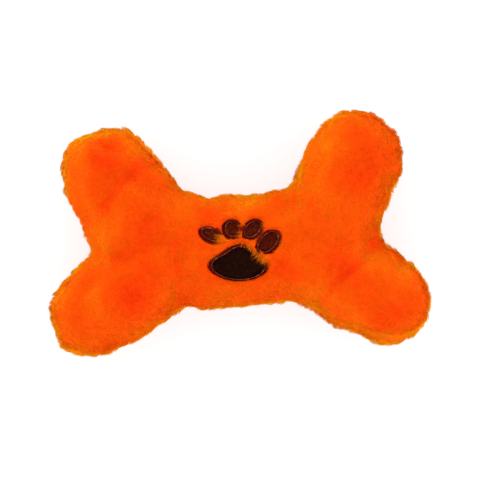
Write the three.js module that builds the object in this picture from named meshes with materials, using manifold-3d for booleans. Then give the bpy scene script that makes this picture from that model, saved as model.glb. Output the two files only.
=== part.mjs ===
// Plush bone dog toy: a two-panel fur-fabric cover, its fibre filling, a squeaker with a sprung reed, and a
// paw print of sewn-on patches. Millimetres, +Z up. The toy lies on its back panel with the paw upwards. X
// runs along the bone, and the origin is under the middle of its bounding box, on the surface it lies on.

import * as THREE from "three";
import { LoftGeometry } from "three/addons/geometries/LoftGeometry.js";
import { mergeVertices } from "three/addons/utils/BufferGeometryUtils.js";
import Module from "manifold-3d";

const wasm = await Module();
wasm.setup();

// Fur fabric
const pileHeight = 6.5;
const backingThickness = 1.2;
const seamAllowance = 6;

// Clearance between pieces that touch, the overrun of cutting solids, and how close two corners are the same
const fitGap = 0.3;
const overrun = 5;
const sameCorner = 0.0001;

// Heights of the forms: the back is equally deep everywhere, because the toy lies flat on it
const bedDepth = 27;
const shaftRise = 26;
const knobRise = 31;
const restCut = 0.5;

// Shaft: its ends are the notches between the knobs, and its middle sags between them
const shaftLength = 176;
const shaftWidth = 74;
const shaftSag = 18.5;

// Knobs: length from root to tip, width at the root and at the tip
const upperLeftLength = 89;
const upperLeftRootWidth = 66;
const upperLeftTipWidth = 60;
const lowerLeftLength = 101.5;
const lowerLeftRootWidth = 60;
const lowerLeftTipWidth = 56;
const upperRightLength = 94;
const upperRightRootWidth = 64;
const upperRightTipWidth = 56;
const lowerRightLength = 105;
const lowerRightRootWidth = 60;
const lowerRightTipWidth = 56;

// Creases in the front: how deep each is, and how far from its middle it has faded to a third
const creaseReach = 9;
const upperLeftCreaseDepth = 4.4;
const lowerRightCreaseDepth = 3.6;
const shaftCreaseDepth = 3;
const leftCreaseDepth = 2;

// Paw print
const pawWidth = 50;
const patchThickness = 2.8;
const patchBaseThickness = 0.8;
const borderWidth = 1.9;
const borderWrap = 0.7;
const borderStand = 0.4;
const stabiliserThickness = 0.5;
const stabiliserMargin = 5;

// Squeaker: a blow-moulded disc with a collar in its upper face, which holds the whistle
const bladderDiameter = 34;
const bladderHeight = 17;
const bladderWall = 1.2;
const whistleDiameter = 8;
const whistleLength = 11;
const whistleLipWidth = 1.6;
const whistleLipThickness = 1;
const collarDepth = 6;

// Reed: a plastic tongue held between the two halves of the whistle
const reedLength = 9.5;
const reedWidth = 4;
const reedThickness = 0.3;
const reedHeld = 2.5;
const windwayWidth = 2.4;
const windwayDepth = 1.6;

// Derived sizes
const plush = pileHeight + backingThickness;
const seamHeight = bedDepth - restCut;

// Finenesses: of the cover's outside, and of everything inside it, which nests and so shares one
const outer = { stations: 14, points: 24 };
const inner = { stations: 7, points: 12 };
const toePoints = 18;
const padPoints = 32;
const roundPoints = 24;

// Knobs: a spine starts at shares of half the shaft's length and width, and leans by degrees from the X axis
const knobs = [
  {
    name: "lower_right",
    startShares: [0.24, 0.2],
    lean: -33,
    length: lowerRightLength,
    rootWidth: lowerRightRootWidth,
    tipWidth: lowerRightTipWidth,
    power: 2.8,
  },
  {
    name: "lower_left",
    startShares: [-0.27, 0.22],
    lean: 212,
    length: lowerLeftLength,
    rootWidth: lowerLeftRootWidth,
    tipWidth: lowerLeftTipWidth,
    power: 3,
  },
  {
    name: "upper_right",
    startShares: [0.54, -0.22],
    lean: 66,
    length: upperRightLength,
    rootWidth: upperRightRootWidth,
    tipWidth: upperRightTipWidth,
    power: 2.8,
  },
  {
    name: "upper_left",
    startShares: [-0.52, -0.16],
    lean: 116,
    length: upperLeftLength,
    rootWidth: upperLeftRootWidth,
    tipWidth: upperLeftTipWidth,
    power: 3,
  },
];

// The five swelling forms, largest first. A higher power rounds a form's ends off later.
const shaftForm = {
  name: "shaft",
  start: new THREE.Vector2(-shaftLength / 2, shaftSag / 2),
  length: shaftLength,
  lean: 0,
  rootWidth: shaftWidth,
  tipWidth: shaftWidth,
  rise: shaftRise,
  power: 3.2,
  waistShare: 0.1,
  sag: shaftSag / 2,
};
const forms = [shaftForm, ...knobs.map(knobForm)];
const seamPinchShare = 0.12;
const endShare = 0.985;

function knobForm(knob) {
  const [alongShare, acrossShare] = knob.startShares;
  const start = new THREE.Vector2((alongShare * shaftLength) / 2, (acrossShare * shaftWidth) / 2);
  return { ...knob, start, rise: knobRise, waistShare: 0, sag: 0 };
}

// Creases: each runs through places given as shares of half the shaft's length and of half its width
const creases = [
  {
    depth: upperLeftCreaseDepth,
    runShares: [
      [-0.47, 1.46],
      [-0.63, 1.45],
      [-0.75, 1.17],
      [-0.86, 0.82],
    ],
  },
  {
    depth: lowerRightCreaseDepth,
    runShares: [
      [0.94, -0.03],
      [0.79, -0.41],
      [0.66, -0.64],
      [0.58, -0.87],
    ],
  },
  {
    depth: shaftCreaseDepth,
    runShares: [
      [-0.41, 0.13],
      [-0.42, -0.35],
      [-0.39, -0.77],
    ],
  },
  {
    depth: leftCreaseDepth,
    runShares: [
      [-0.81, -0.08],
      [-0.6, 0.12],
      [-0.42, 0.23],
    ],
  },
];

// Paw print: toes by place and half sizes, as shares of the paw's width, and by tilt in degrees
const toeShares = [
  { centre: [-0.323, 0.21], half: [0.166, 0.09], tilt: -28 },
  { centre: [-0.079, 0.27], half: [0.119, 0.111], tilt: 100 },
  { centre: [0.162, 0.25], half: [0.142, 0.104], tilt: 40 },
  { centre: [0.336, 0.084], half: [0.175, 0.116], tilt: 43 },
];

// Main pad: its outline, as shares of the paw's width
const padShares = [
  [0.01, 0.083],
  [-0.112, 0.047],
  [-0.229, -0.026],
  [-0.337, -0.08],
  [-0.386, -0.171],
  [-0.318, -0.266],
  [-0.171, -0.348],
  [-0.014, -0.376],
  [0.143, -0.356],
  [0.271, -0.286],
  [0.318, -0.196],
  [0.271, -0.111],
  [0.173, -0.03],
  [0.104, 0.047],
];

// How far the paw print's middle lies to the right of the shaft's, as a share of the paw's width
const pawCentreShare = 0.045;

// Materials
function cloth(color) {
  return new THREE.MeshStandardMaterial({ color, roughness: 0.95, metalness: 0 });
}

function plastic(color) {
  return new THREE.MeshStandardMaterial({ color, roughness: 0.4, metalness: 0 });
}

const plushCloth = cloth(0xff5a00);
const fibre = cloth(0xf3f1ea);
const padCloth = cloth(0x2a0f06);
const toeCloth = cloth(0x5a1808);
const borderThread = cloth(0x6b1204);
const stabiliserCloth = cloth(0xf7f7f5);
const bladderPlastic = plastic(0xe8e6df);
const whistlePlastic = plastic(0xf4f4f2);
const reedPlastic = plastic(0xcfd8dc);

// A closed three.js geometry as a solid
function solidOf(geometry) {
  const bare = new THREE.BufferGeometry();
  bare.setAttribute("position", geometry.getAttribute("position"));
  bare.setIndex(geometry.getIndex());
  const merged = mergeVertices(bare, sameCorner);
  return new wasm.Manifold(
    new wasm.Mesh({
      numProp: 3,
      vertProperties: new Float32Array(merged.attributes.position.array),
      triVerts: new Uint32Array(merged.index.array),
    }),
  );
}

// A solid as a named mesh
function meshOf(name, solid, material) {
  const { vertProperties, triVerts } = solid.getMesh();
  const geometry = new THREE.BufferGeometry();
  geometry.setAttribute("position", new THREE.BufferAttribute(vertProperties, 3));
  geometry.setIndex(new THREE.BufferAttribute(triVerts, 1));
  const mesh = new THREE.Mesh(geometry.toNonIndexed(), material);
  mesh.geometry.computeVertexNormals();
  mesh.name = name;
  return mesh;
}

function joined(solids) {
  return solids.reduce((all, next) => all.add(next));
}

// How far the creases lower the front at a point
function creaseDrop({ x, y }) {
  const place = new THREE.Vector3(x, y, 0);
  const drops = creases.map(({ depth, runShares }) => {
    const run = runShares.map(([along, across]) => {
      return new THREE.Vector3((along * shaftLength) / 2, (across * shaftWidth) / 2, 0);
    });
    const gaps = run.slice(1).map((end, i) => {
      const nearest = new THREE.Line3(run[i], end).closestPointToPoint(place, true, new THREE.Vector3());
      return nearest.distanceTo(place);
    });
    return depth * Math.exp(-((Math.min(...gaps) / creaseReach) ** 2));
  });
  return Math.max(...drops);
}

// One swelling form: rings across its spine, which grow and shrink with a rounded power curve, drawn in at
// the seam line and creased in front. Below the seam all forms are equally deep. inset moves the whole
// surface inwards.
function swelling(form, inset, fineness) {
  const lean = THREE.MathUtils.degToRad(form.lean);
  const along = new THREE.Vector2(Math.cos(lean), Math.sin(lean));
  const across = new THREE.Vector2(-along.y, along.x);
  const sections = [];
  for (let i = 0; i <= fineness.stations; i++) {
    const place = -Math.cos((Math.PI * i) / fineness.stations) * endShare;
    const share = (1 + place) / 2;
    const swell = (1 - Math.abs(place) ** form.power) ** (1 / form.power);
    const waist = 1 - form.waistShare * (1 - place * place);
    const halfWidth = (THREE.MathUtils.lerp(form.rootWidth, form.tipWidth, share) / 2) * waist - inset;
    const middle = form.start.clone();
    middle.addScaledVector(along, form.length / 2 + (form.length / 2 - inset) * place);
    middle.addScaledVector(across, -form.sag * (1 - place * place));
    const ring = [];
    for (let j = 0; j < fineness.points; j++) {
      const angle = (2 * Math.PI * j) / fineness.points;
      const side = Math.cos(angle);
      const point = middle.clone().addScaledVector(across, halfWidth * swell * side);
      const height = (angle <= Math.PI ? form.rise - creaseDrop(point) : bedDepth) - inset;
      const lift = height * swell * Math.sin(angle) * (1 - seamPinchShare * side * side);
      ring.push(new THREE.Vector3(point.x, point.y, seamHeight + lift));
    }
    sections.push(ring);
  }
  return solidOf(new LoftGeometry(sections, { capStart: true, capEnd: true }));
}

function bone(inset, fineness) {
  return joined(forms.map((form) => swelling(form, inset, fineness)));
}

// A slab that is wider than the toy, between two heights
function slab(low, high) {
  const reach = 2 * (shaftLength + upperLeftLength + upperRightLength);
  const box = new THREE.BoxGeometry(reach, reach, high - low);
  return solidOf(box.translate(0, 0, (low + high) / 2));
}

function above(height) {
  return slab(height, height + bedDepth + knobRise + overrun);
}

function below(height) {
  return slab(height - bedDepth - knobRise - overrun, height);
}

// Cover: two fur-fabric panels, whose seam allowances turn in and lie against each other at the seam
function panel(side) {
  const face = seamHeight + (side * fitGap) / 2;
  const folded = face + side * backingThickness;
  const half = side > 0 ? above(face) : below(face);
  const shell = coverOutside.subtract(coverInside).intersect(half);
  const allowance = slab(Math.min(face, folded), Math.max(face, folded))
    .intersect(coverMiddle)
    .subtract(bone(plush + seamAllowance, inner));
  return shell.add(allowance);
}

const coverOutside = bone(0, outer).intersect(above(0));
const coverMiddle = bone(pileHeight, inner);
const coverInside = bone(plush, inner);

// Paw print outlines, as points around the shaft's middle
const pawCentre = new THREE.Vector2(pawCentreShare * pawWidth, 0);

function toeOutline(toe) {
  const [halfLength, halfWidth] = toe.half.map((share) => share * pawWidth);
  const points = [];
  for (let i = 0; i < toePoints; i++) {
    const angle = (2 * Math.PI * i) / toePoints;
    points.push(new THREE.Vector2(halfLength * Math.cos(angle), halfWidth * Math.sin(angle)));
  }
  const centre = new THREE.Vector2(...toe.centre).multiplyScalar(pawWidth).add(pawCentre);
  const tilt = THREE.MathUtils.degToRad(toe.tilt);
  return points.map((point) => point.rotateAround(new THREE.Vector2(), tilt).add(centre));
}

function padOutline() {
  const places = padShares.map(([x, y]) => new THREE.Vector3(x, y, 0).multiplyScalar(pawWidth));
  const curve = new THREE.CatmullRomCurve3(places, true);
  return curve
    .getSpacedPoints(padPoints)
    .slice(0, padPoints)
    .map((place) => new THREE.Vector2(place.x, place.y).add(pawCentre));
}

// An outline moved outwards by a distance, or inwards where it is negative
function grown(outline, distance) {
  return outline.map((point, i) => {
    const before = outline.at(i - 1);
    const after = outline[(i + 1) % outline.length];
    const run = after.clone().sub(before).normalize();
    return new THREE.Vector2(point.x + run.y * distance, point.y - run.x * distance);
  });
}

function prism(outline) {
  const depth = bedDepth + knobRise + overrun;
  const geometry = new THREE.ExtrudeGeometry(new THREE.Shape(outline), { depth, bevelEnabled: false });
  return solidOf(geometry.translate(0, 0, seamHeight));
}

// What a prism keeps between two depths under the shaft's surface
function layer(outline, top, bottom, fineness = outer) {
  const upper = swelling(shaftForm, top, fineness);
  const lower = swelling(shaftForm, bottom, fineness);
  return prism(outline).intersect(upper).subtract(lower);
}

// Depths under the surface of the fur: the floor of the pressed pile, the patches and their borders
const patchFloor = pileHeight - fitGap;
const patchTop = patchFloor - patchThickness;
const patchBaseTop = patchFloor - patchBaseThickness;
const borderTop = patchTop - borderStand;

function patch(outline) {
  const base = layer(grown(outline, -borderWrap - fitGap), patchBaseTop, patchFloor);
  const velvet = layer(grown(outline, -borderWidth - fitGap), patchTop, patchFloor);
  return base.add(velvet);
}

// A satin-stitched border, which wraps over the patch's edge down to the backing
function border(outline) {
  const band = layer(outline, borderTop, patchFloor).subtract(prism(grown(outline, -borderWidth)));
  return band.subtract(layer(grown(outline, -borderWrap), patchBaseTop - fitGap, patchFloor + overrun));
}

const marks = [
  { name: "main_pad", outline: padOutline(), material: padCloth },
  ...toeShares.map((toe, i) => ({ name: "toe_" + (i + 1), outline: toeOutline(toe), material: toeCloth })),
];

// The pile is pressed flat under each patch, which leaves a recess in the front panel
function pressed(outline) {
  return prism(grown(outline, fitGap)).subtract(swelling(shaftForm, pileHeight, outer));
}

// Stabiliser: the sheet inside the front panel that the paw print is sewn through, a rectangle whose corners
// round off less the higher its squareness is
const squareness = 4;

function stabiliserOutline() {
  const box = new THREE.Box2();
  marks.forEach((mark) => mark.outline.forEach((point) => box.expandByPoint(point)));
  box.expandByScalar(stabiliserMargin);
  const centre = box.getCenter(new THREE.Vector2());
  const size = box.getSize(new THREE.Vector2());
  const points = [];
  for (let i = 0; i < roundPoints; i++) {
    const angle = (2 * Math.PI * i) / roundPoints;
    const side = new THREE.Vector2(Math.cos(angle), Math.sin(angle));
    const total = Math.abs(side.x) ** squareness + Math.abs(side.y) ** squareness;
    const reach = total ** (-1 / squareness) / 2;
    points.push(side.multiply(size).multiplyScalar(reach).add(centre));
  }
  return points;
}

const stabiliserTop = plush + fitGap;
const stabiliserBottom = stabiliserTop + stabiliserThickness;
const stabiliser = layer(stabiliserOutline(), stabiliserTop, stabiliserBottom, inner);
const stabiliserRoom = prism(grown(stabiliserOutline(), fitGap)).subtract(
  swelling(shaftForm, stabiliserBottom + fitGap, inner),
);

// Squeaker: everything turns about an upright axis at the middle of the shaft, at the seam's height
function turned(profile) {
  const points = profile.map(([radius, height]) => new THREE.Vector2(radius, height));
  const geometry = new THREE.LatheGeometry(points, roundPoints);
  return solidOf(geometry.rotateX(Math.PI / 2).translate(0, 0, seamHeight));
}

const bladderRadius = bladderDiameter / 2;
const halfHeight = bladderHeight / 2;
const whistleRadius = whistleDiameter / 2;
const collarRadius = whistleRadius + fitGap;

// Half the bladder's section, from its lower to its upper face: flat faces that round into a bulging rim, a
// distance inside the outer surface
const rimPoints = 6;

function bladderRim(inside) {
  const points = [];
  for (let i = 0; i <= rimPoints; i++) {
    const angle = Math.PI * (i / rimPoints - 0.5);
    const reach = bladderRadius - halfHeight + (halfHeight - inside) * Math.cos(angle);
    points.push([reach, (halfHeight - inside) * Math.sin(angle)]);
  }
  return points;
}

function bladder() {
  const collarFoot = halfHeight - collarDepth;
  return turned([
    [0, -halfHeight],
    ...bladderRim(0),
    [collarRadius, halfHeight],
    [collarRadius, collarFoot],
    [collarRadius + bladderWall, collarFoot],
    [collarRadius + bladderWall, halfHeight - bladderWall],
    ...bladderRim(bladderWall).reverse(),
    [0, bladderWall - halfHeight],
  ]);
}

// The whistle stands in the collar with its lip on the bladder's face
const lipHeight = halfHeight + fitGap;
const whistleTop = lipHeight + whistleLipThickness;
const whistleFoot = whistleTop - whistleLength;
const reedFace = reedThickness / 2 + fitGap;

function whistleBody() {
  const lipRadius = whistleRadius + whistleLipWidth;
  return turned([
    [0, whistleFoot],
    [whistleRadius, whistleFoot],
    [whistleRadius, lipHeight],
    [lipRadius, lipHeight],
    [lipRadius, whistleTop],
    [0, whistleTop],
  ]);
}

// A block beside the reed's plane, from x to x and from height to height above the seam
function block(left, right, width, low, high) {
  const box = new THREE.BoxGeometry(right - left, width, high - low);
  return solidOf(box.translate((left + right) / 2, 0, seamHeight + (low + high) / 2));
}

const wide = whistleDiameter + 2 * whistleLipWidth + overrun;
const reedTop = lipHeight - fitGap;
const reedFoot = reedTop - reedLength;
const reedRoot = reedTop - reedHeld;
const cutFoot = whistleFoot - overrun;
const cutTop = whistleTop + overrun;

// Holder: the half with the windway, an open channel that the reed beats on
function reedHolder() {
  const floor = -reedFace - windwayDepth;
  const otherHalf = block(-reedFace, wide, wide, cutFoot, cutTop);
  const windway = block(floor, 0, windwayWidth, cutFoot, reedRoot);
  const outlet = block(floor, 0, windwayWidth / 2, reedRoot - overrun, cutTop);
  return whistleBody().subtract(otherHalf).subtract(windway).subtract(outlet);
}

// Clamp: the shorter half, which presses the reed's root and leaves its tongue free
function reedClamp() {
  const otherHalf = block(-wide, reedFace, wide, cutFoot, cutTop);
  const tongueRoom = block(0, wide, wide, cutFoot, reedRoot);
  return whistleBody().subtract(otherHalf).subtract(tongueRoom);
}

function reed() {
  return block(-reedThickness / 2, reedThickness / 2, reedWidth, reedFoot, reedTop);
}

// Filling: a wad in the shaft, in a front and a back half around the squeaker, and one in each knob. Each is
// cut by the larger ones and by the turned-in seam allowances, and the shaft's by the room for the squeaker.
const allowanceHalf = fitGap / 2 + backingThickness + fitGap;
const allowanceRoom = slab(seamHeight - allowanceHalf, seamHeight + allowanceHalf).subtract(
  bone(plush + seamAllowance + fitGap, inner),
);

function squeakerRoom() {
  const lipRadius = whistleRadius + whistleLipWidth + fitGap;
  const roomTop = whistleTop + fitGap;
  return turned([
    [0, -halfHeight - fitGap],
    ...bladderRim(-fitGap),
    [lipRadius, halfHeight + fitGap],
    [lipRadius, roomTop],
    [0, roomTop],
  ]);
}

function wads() {
  const full = plush + fitGap;
  const list = forms.map((form, i) => {
    const larger = forms.slice(0, i).map((other) => swelling(other, plush, inner));
    const own = swelling(form, full, inner).subtract(allowanceRoom);
    const wad = larger.reduce((rest, other) => rest.subtract(other), own);
    return { name: form.name + "_stuffing", solid: wad };
  });
  const shaft = list.shift().solid.subtract(squeakerRoom()).subtract(stabiliserRoom);
  const front = { name: "shaft_stuffing_front", solid: shaft.intersect(above(seamHeight + fitGap / 2)) };
  const back = { name: "shaft_stuffing_back", solid: shaft.intersect(below(seamHeight - fitGap / 2)) };
  return [front, back, ...list];
}

// Assembly
const toy = new THREE.Group();

const cover = new THREE.Group();
const front = marks.reduce((rest, mark) => rest.subtract(pressed(mark.outline)), panel(1));
cover.add(meshOf("front_panel", front, plushCloth));
cover.add(meshOf("back_panel", panel(-1), plushCloth));
toy.add(cover);

const filling = new THREE.Group();
wads().forEach(({ name, solid }) => filling.add(meshOf(name, solid, fibre)));
toy.add(filling);

const pawPrint = new THREE.Group();
marks.forEach((mark) => {
  pawPrint.add(meshOf(mark.name + "_patch", patch(mark.outline), mark.material));
  pawPrint.add(meshOf(mark.name + "_border", border(mark.outline), borderThread));
});
pawPrint.add(meshOf("paw_stabiliser", stabiliser, stabiliserCloth));
toy.add(pawPrint);

const squeaker = new THREE.Group();
squeaker.add(meshOf("squeaker_bladder", bladder(), bladderPlastic));
squeaker.add(meshOf("reed_holder", reedHolder(), whistlePlastic));
squeaker.add(meshOf("reed_clamp", reedClamp(), whistlePlastic));
squeaker.add(meshOf("squeaker_reed", reed(), reedPlastic));
toy.add(squeaker);

// The origin goes under the middle of the cover's box
const box = new THREE.Box3().setFromObject(cover);
const middle = box.getCenter(new THREE.Vector3());
toy.position.set(-middle.x, -middle.y, 0);

export default toy;
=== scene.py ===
"""Plush bone dog toy: fur-fabric cover with its pile, paw print of velour patches, filling and squeaker."""

import math

import bmesh
import bpy
import numpy as np
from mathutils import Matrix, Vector
from mathutils.bvhtree import BVHTree
from mathutils.kdtree import KDTree


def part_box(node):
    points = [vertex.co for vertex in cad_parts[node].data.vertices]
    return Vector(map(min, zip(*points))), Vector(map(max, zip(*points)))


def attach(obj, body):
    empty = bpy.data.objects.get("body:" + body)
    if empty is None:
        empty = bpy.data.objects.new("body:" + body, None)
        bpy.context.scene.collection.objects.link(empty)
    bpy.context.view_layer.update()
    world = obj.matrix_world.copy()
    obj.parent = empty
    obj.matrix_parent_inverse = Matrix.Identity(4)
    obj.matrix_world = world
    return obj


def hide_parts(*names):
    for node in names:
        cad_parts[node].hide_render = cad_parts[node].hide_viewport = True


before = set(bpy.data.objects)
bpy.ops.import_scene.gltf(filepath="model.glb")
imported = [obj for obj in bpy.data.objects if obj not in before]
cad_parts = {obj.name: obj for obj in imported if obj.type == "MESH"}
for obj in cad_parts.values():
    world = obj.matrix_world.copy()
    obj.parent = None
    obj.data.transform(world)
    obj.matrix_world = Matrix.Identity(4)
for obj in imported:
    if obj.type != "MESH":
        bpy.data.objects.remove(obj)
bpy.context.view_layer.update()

# Lengths in metres
MM = 0.001
COVER_THICKNESS = 7.7 * MM
SEAM_Z = (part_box("front_panel")[0].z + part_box("back_panel")[1].z) / 2

# The photograph: its scale, the pixel and the place that it looks straight down at, and its turn
PIXEL = 0.6085 * MM
IMAGE_MIDDLE = (240, 240)
LOOKS_AT = (2.93 * MM, -3.29 * MM)
TILT = math.radians(3.5)
IMAGE_WIDTH = 480


def at_pixel(x, y):
    """The place on the toy, in X and Y, that a pixel of the photograph shows."""
    right, up = (x - IMAGE_MIDDLE[0]) * PIXEL, (IMAGE_MIDDLE[1] - y) * PIXEL
    return (
        LOOKS_AT[0] + right * math.cos(TILT) + up * math.sin(TILT),
        LOOKS_AT[1] - right * math.sin(TILT) + up * math.cos(TILT),
    )


# Meshes as arrays of points and faces
SMOOTHING_STEPS = (0.5, -0.52)


def collected(objects):
    """The points and faces of several objects' meshes."""
    points, faces = [], []
    start = 0
    for o in objects:
        points.append(points_of(o.data))
        faces += [[start + v for v in f.vertices] for f in o.data.polygons]
        start += len(o.data.vertices)
    return np.concatenate(points), faces


def tree_of(node):
    """A CAD node's surface, to be met by rays."""
    points, faces = collected([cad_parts[node]])
    return BVHTree.FromPolygons(points.tolist(), faces)


def new_piece(name, points, faces):
    mesh = bpy.data.meshes.new(name)
    mesh.from_pydata(np.asarray(points).tolist(), [], [list(map(int, f)) for f in faces])
    mesh.update()
    obj = bpy.data.objects.new(name, mesh)
    bpy.context.scene.collection.objects.link(obj)
    return obj


def read(items, name, width, kind=float):
    found = np.empty(len(items) * width, kind)
    items.foreach_get(name, found)
    return found.reshape(-1, width)


def write(items, name, values, kind=np.float32):
    items.foreach_set(name, np.asarray(values, kind).ravel())


def points_of(mesh):
    return read(mesh.vertices, "co", 3)


def set_points(mesh, points):
    write(mesh.vertices, "co", points)
    mesh.update()


def normals_of(mesh):
    return read(mesh.vertex_normals, "vector", 3)


def edges_of(mesh):
    return read(mesh.edges, "vertices", 2, np.int32)


def nearest_of(places, points):
    """The number of the place that is nearest to each point."""
    tree = KDTree(len(places))
    for number, place in enumerate(places):
        tree.insert(place, number)
    tree.balance()
    return [tree.find(point)[1] for point in points]


def apply_modifiers(obj):
    bpy.context.view_layer.update()
    done = bpy.data.meshes.new_from_object(obj.evaluated_get(bpy.context.evaluated_depsgraph_get()))
    obj.modifiers.clear()
    old, obj.data = obj.data, done
    bpy.data.meshes.remove(old)


def lengths(vectors):
    return np.linalg.norm(vectors, axis=1)


def unit(vectors):
    return vectors / np.maximum(lengths(vectors), 1e-12)[:, None]


def neighbour_mean(values, edges):
    count = np.bincount(edges.ravel(), minlength=len(values))
    total = np.zeros_like(values)
    for k in range(values.shape[1]):
        total[:, k] += np.bincount(edges[:, 0], values[edges[:, 1], k], len(values))
        total[:, k] += np.bincount(edges[:, 1], values[edges[:, 0], k], len(values))
    return total / np.maximum(count, 1)[:, None]


def smoothed(values, edges, rounds):
    """Values smoothed without shrinking the mesh: each round goes forward and then a little back."""
    for _ in range(rounds):
        for step in SMOOTHING_STEPS:
            values = values + step * (neighbour_mean(values, edges) - values)
    return values


def voxel_remesh(obj, size):
    remesh = obj.modifiers.new("remesh", "REMESH")
    remesh.mode = "VOXEL"
    remesh.voxel_size = size
    apply_modifiers(obj)


WAVE_COUNT = 24


def waves(points, wavelength, seed):
    """Smooth noise of about 1 either way: a sum of sine waves in random directions."""
    rng = np.random.default_rng(seed)
    ways = unit(rng.normal(size=(WAVE_COUNT, 3)))
    ways *= (2 * np.pi / (wavelength * rng.uniform(0.7, 1.5, WAVE_COUNT)))[:, None]
    phase = rng.uniform(0, 2 * np.pi, WAVE_COUNT)
    return np.sin(points @ ways.T + phase).sum(1) * math.sqrt(2 / WAVE_COUNT)


# The cover's outer surface, at the tips of the pile
COVER_VOXEL = 3 * MM
CLOTH_FRAMES = 20
CLOTH_PRESSURE = 4
CLOTH_STRETCH = 12
CLOTH_BENDING = 2
CLOTH_START_INSET = 2.5 * MM
CLOTH_CAP = 6 * MM
DRIFT_SMOOTHING = 30
WRINKLE_LIMIT = 1.5 * MM
COVER_SMOOTHING = 6
LUMP_HEIGHT = 0.7 * MM
LUMP_SPACING = 22 * MM
LUMP_SEED = 3
PATCH_DEPTH = 6.2 * MM
PAW_LIFT_SMOOTHING = 30
PAW_SURE_REACH = 1.8 * MM


def inflate(obj, pinned):
    """Swells a closed mesh as stuffed cloth, held where pinned is 1."""
    before = points_of(obj.data)
    group = obj.vertex_groups.new(name="pin")
    for i in np.flatnonzero(pinned > 0.05):
        group.add([int(i)], float(pinned[i]), "REPLACE")
    cloth = obj.modifiers.new("cloth", "CLOTH")
    settings = cloth.settings
    settings.use_pressure = True
    settings.uniform_pressure_force = CLOTH_PRESSURE
    settings.effector_weights.gravity = 0
    settings.vertex_group_mass = "pin"
    settings.tension_stiffness = settings.compression_stiffness = CLOTH_STRETCH
    settings.bending_stiffness = CLOTH_BENDING
    cloth.point_cache.frame_start, cloth.point_cache.frame_end = 1, CLOTH_FRAMES
    for number in range(1, CLOTH_FRAMES + 1):
        bpy.context.scene.frame_set(number)
    swollen = points_of(obj.evaluated_get(bpy.context.evaluated_depsgraph_get()).data)
    obj.modifiers.clear()
    obj.vertex_groups.clear()
    bpy.context.scene.frame_set(1)
    move = swollen - before
    far = lengths(move)
    set_points(obj.data, before + move * np.minimum(1, CLOTH_CAP / np.maximum(far, 1e-9))[:, None])


# Paw print: each mark's outline as its middle and its reach in even directions, read from its CAD border
MARKS = ("main_pad", "toe_1", "toe_2", "toe_3", "toe_4")
OUTLINE_STEPS = 180
OUTLINE_TURNS = np.arange(OUTLINE_STEPS) * 2 * np.pi / OUTLINE_STEPS
OUTLINE_SMOOTHING = 4


def farthest_crossing(middle, way, starts, ends):
    """How far from middle, along way, the last of the segments from starts to ends is crossed."""
    run = ends - starts
    cross = way[0] * run[:, 1] - way[1] * run[:, 0]
    off = starts - middle
    with np.errstate(divide="ignore", invalid="ignore"):
        reach = (off[:, 0] * run[:, 1] - off[:, 1] * run[:, 0]) / cross
        along = (off[:, 0] * way[1] - off[:, 1] * way[0]) / cross
    met = (np.abs(cross) > 1e-12) & (along >= -1e-9) & (along <= 1 + 1e-9) & (reach > 0)
    return reach[met].max()


def outline_of(mark):
    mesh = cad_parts[mark + "_border"].data
    flat = points_of(mesh)[:, :2]
    pairs = edges_of(mesh)
    middle = (flat.min(0) + flat.max(0)) / 2
    starts, ends = flat[pairs[:, 0]], flat[pairs[:, 1]]
    ways = [(math.cos(turn), math.sin(turn)) for turn in OUTLINE_TURNS]
    reach = np.array([farthest_crossing(middle, way, starts, ends) for way in ways])
    for _ in range(OUTLINE_SMOOTHING):
        reach = (np.roll(reach, 1) + 2 * reach + np.roll(reach, -1)) / 4
    return {"middle": middle, "reach": reach}


outlines = {mark: outline_of(mark) for mark in MARKS}


def beyond(mark, points):
    """How far points lie outside a mark's outline, in X and Y. Less than 0 is inside it."""
    outline = outlines[mark]
    off = points[:, :2] - outline["middle"]
    turn = np.arctan2(off[:, 1], off[:, 0]) % (2 * np.pi)
    place = turn / (2 * np.pi) * OUTLINE_STEPS
    low = np.floor(place).astype(int) % OUTLINE_STEPS
    share = place - np.floor(place)
    near, far = outline["reach"][low], outline["reach"][(low + 1) % OUTLINE_STEPS]
    return np.hypot(off[:, 0], off[:, 1]) - near * (1 - share) - far * share


def beyond_paw(points):
    return np.min([beyond(mark, points) for mark in MARKS], axis=0)


PAW_MIDDLE = np.mean([outlines[mark]["middle"] for mark in MARKS], axis=0)
PAW_REACH = 30 * MM


def rising(values, low, high):
    """0 below low, 1 above high, and smooth between."""
    t = np.clip((values - low) / (high - low), 0, 1)
    return t * t * (3 - 2 * t)


def near_paw(points, spread):
    """1 round the paw print, falling off to 0 at spread times its reach."""
    return 1 - rising(lengths(points[:, :2] - PAW_MIDDLE), PAW_REACH, spread * PAW_REACH)


def steepness(normals):
    """0 where the cloth lies flat, 1 on the toy's sides."""
    return 1 - rising(np.abs(normals[:, 2]), 0.15, 0.75)


def with_bumps(start, points, table, scale):
    """Start, with soft bumps added by the points' places in X and Y.

    Each row of the table has a bump's pixel in the photograph, its reach in millimetres and its height.
    """
    total = np.full(len(points), start)
    for pixel, reach, height in table:
        far = lengths(points[:, :2] - np.array(at_pixel(*pixel)))
        total += height * scale * np.exp(-((far / (reach * MM)) ** 2))
    return total


# Seam: how far above the parting plane it runs where the toy is rolled over, so that the back panel shows
SEAM_LIFTS = (
    ((84, 146), 34, 12),
    ((62, 338), 30, 10),
    ((378, 338), 40, 14),
)
SEAM_GROOVE = 1.1 * MM
SEAM_GROOVE_WIDTH = 3.5 * MM


def seam_height(points):
    return with_bumps(SEAM_Z, points, SEAM_LIFTS, MM)


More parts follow.
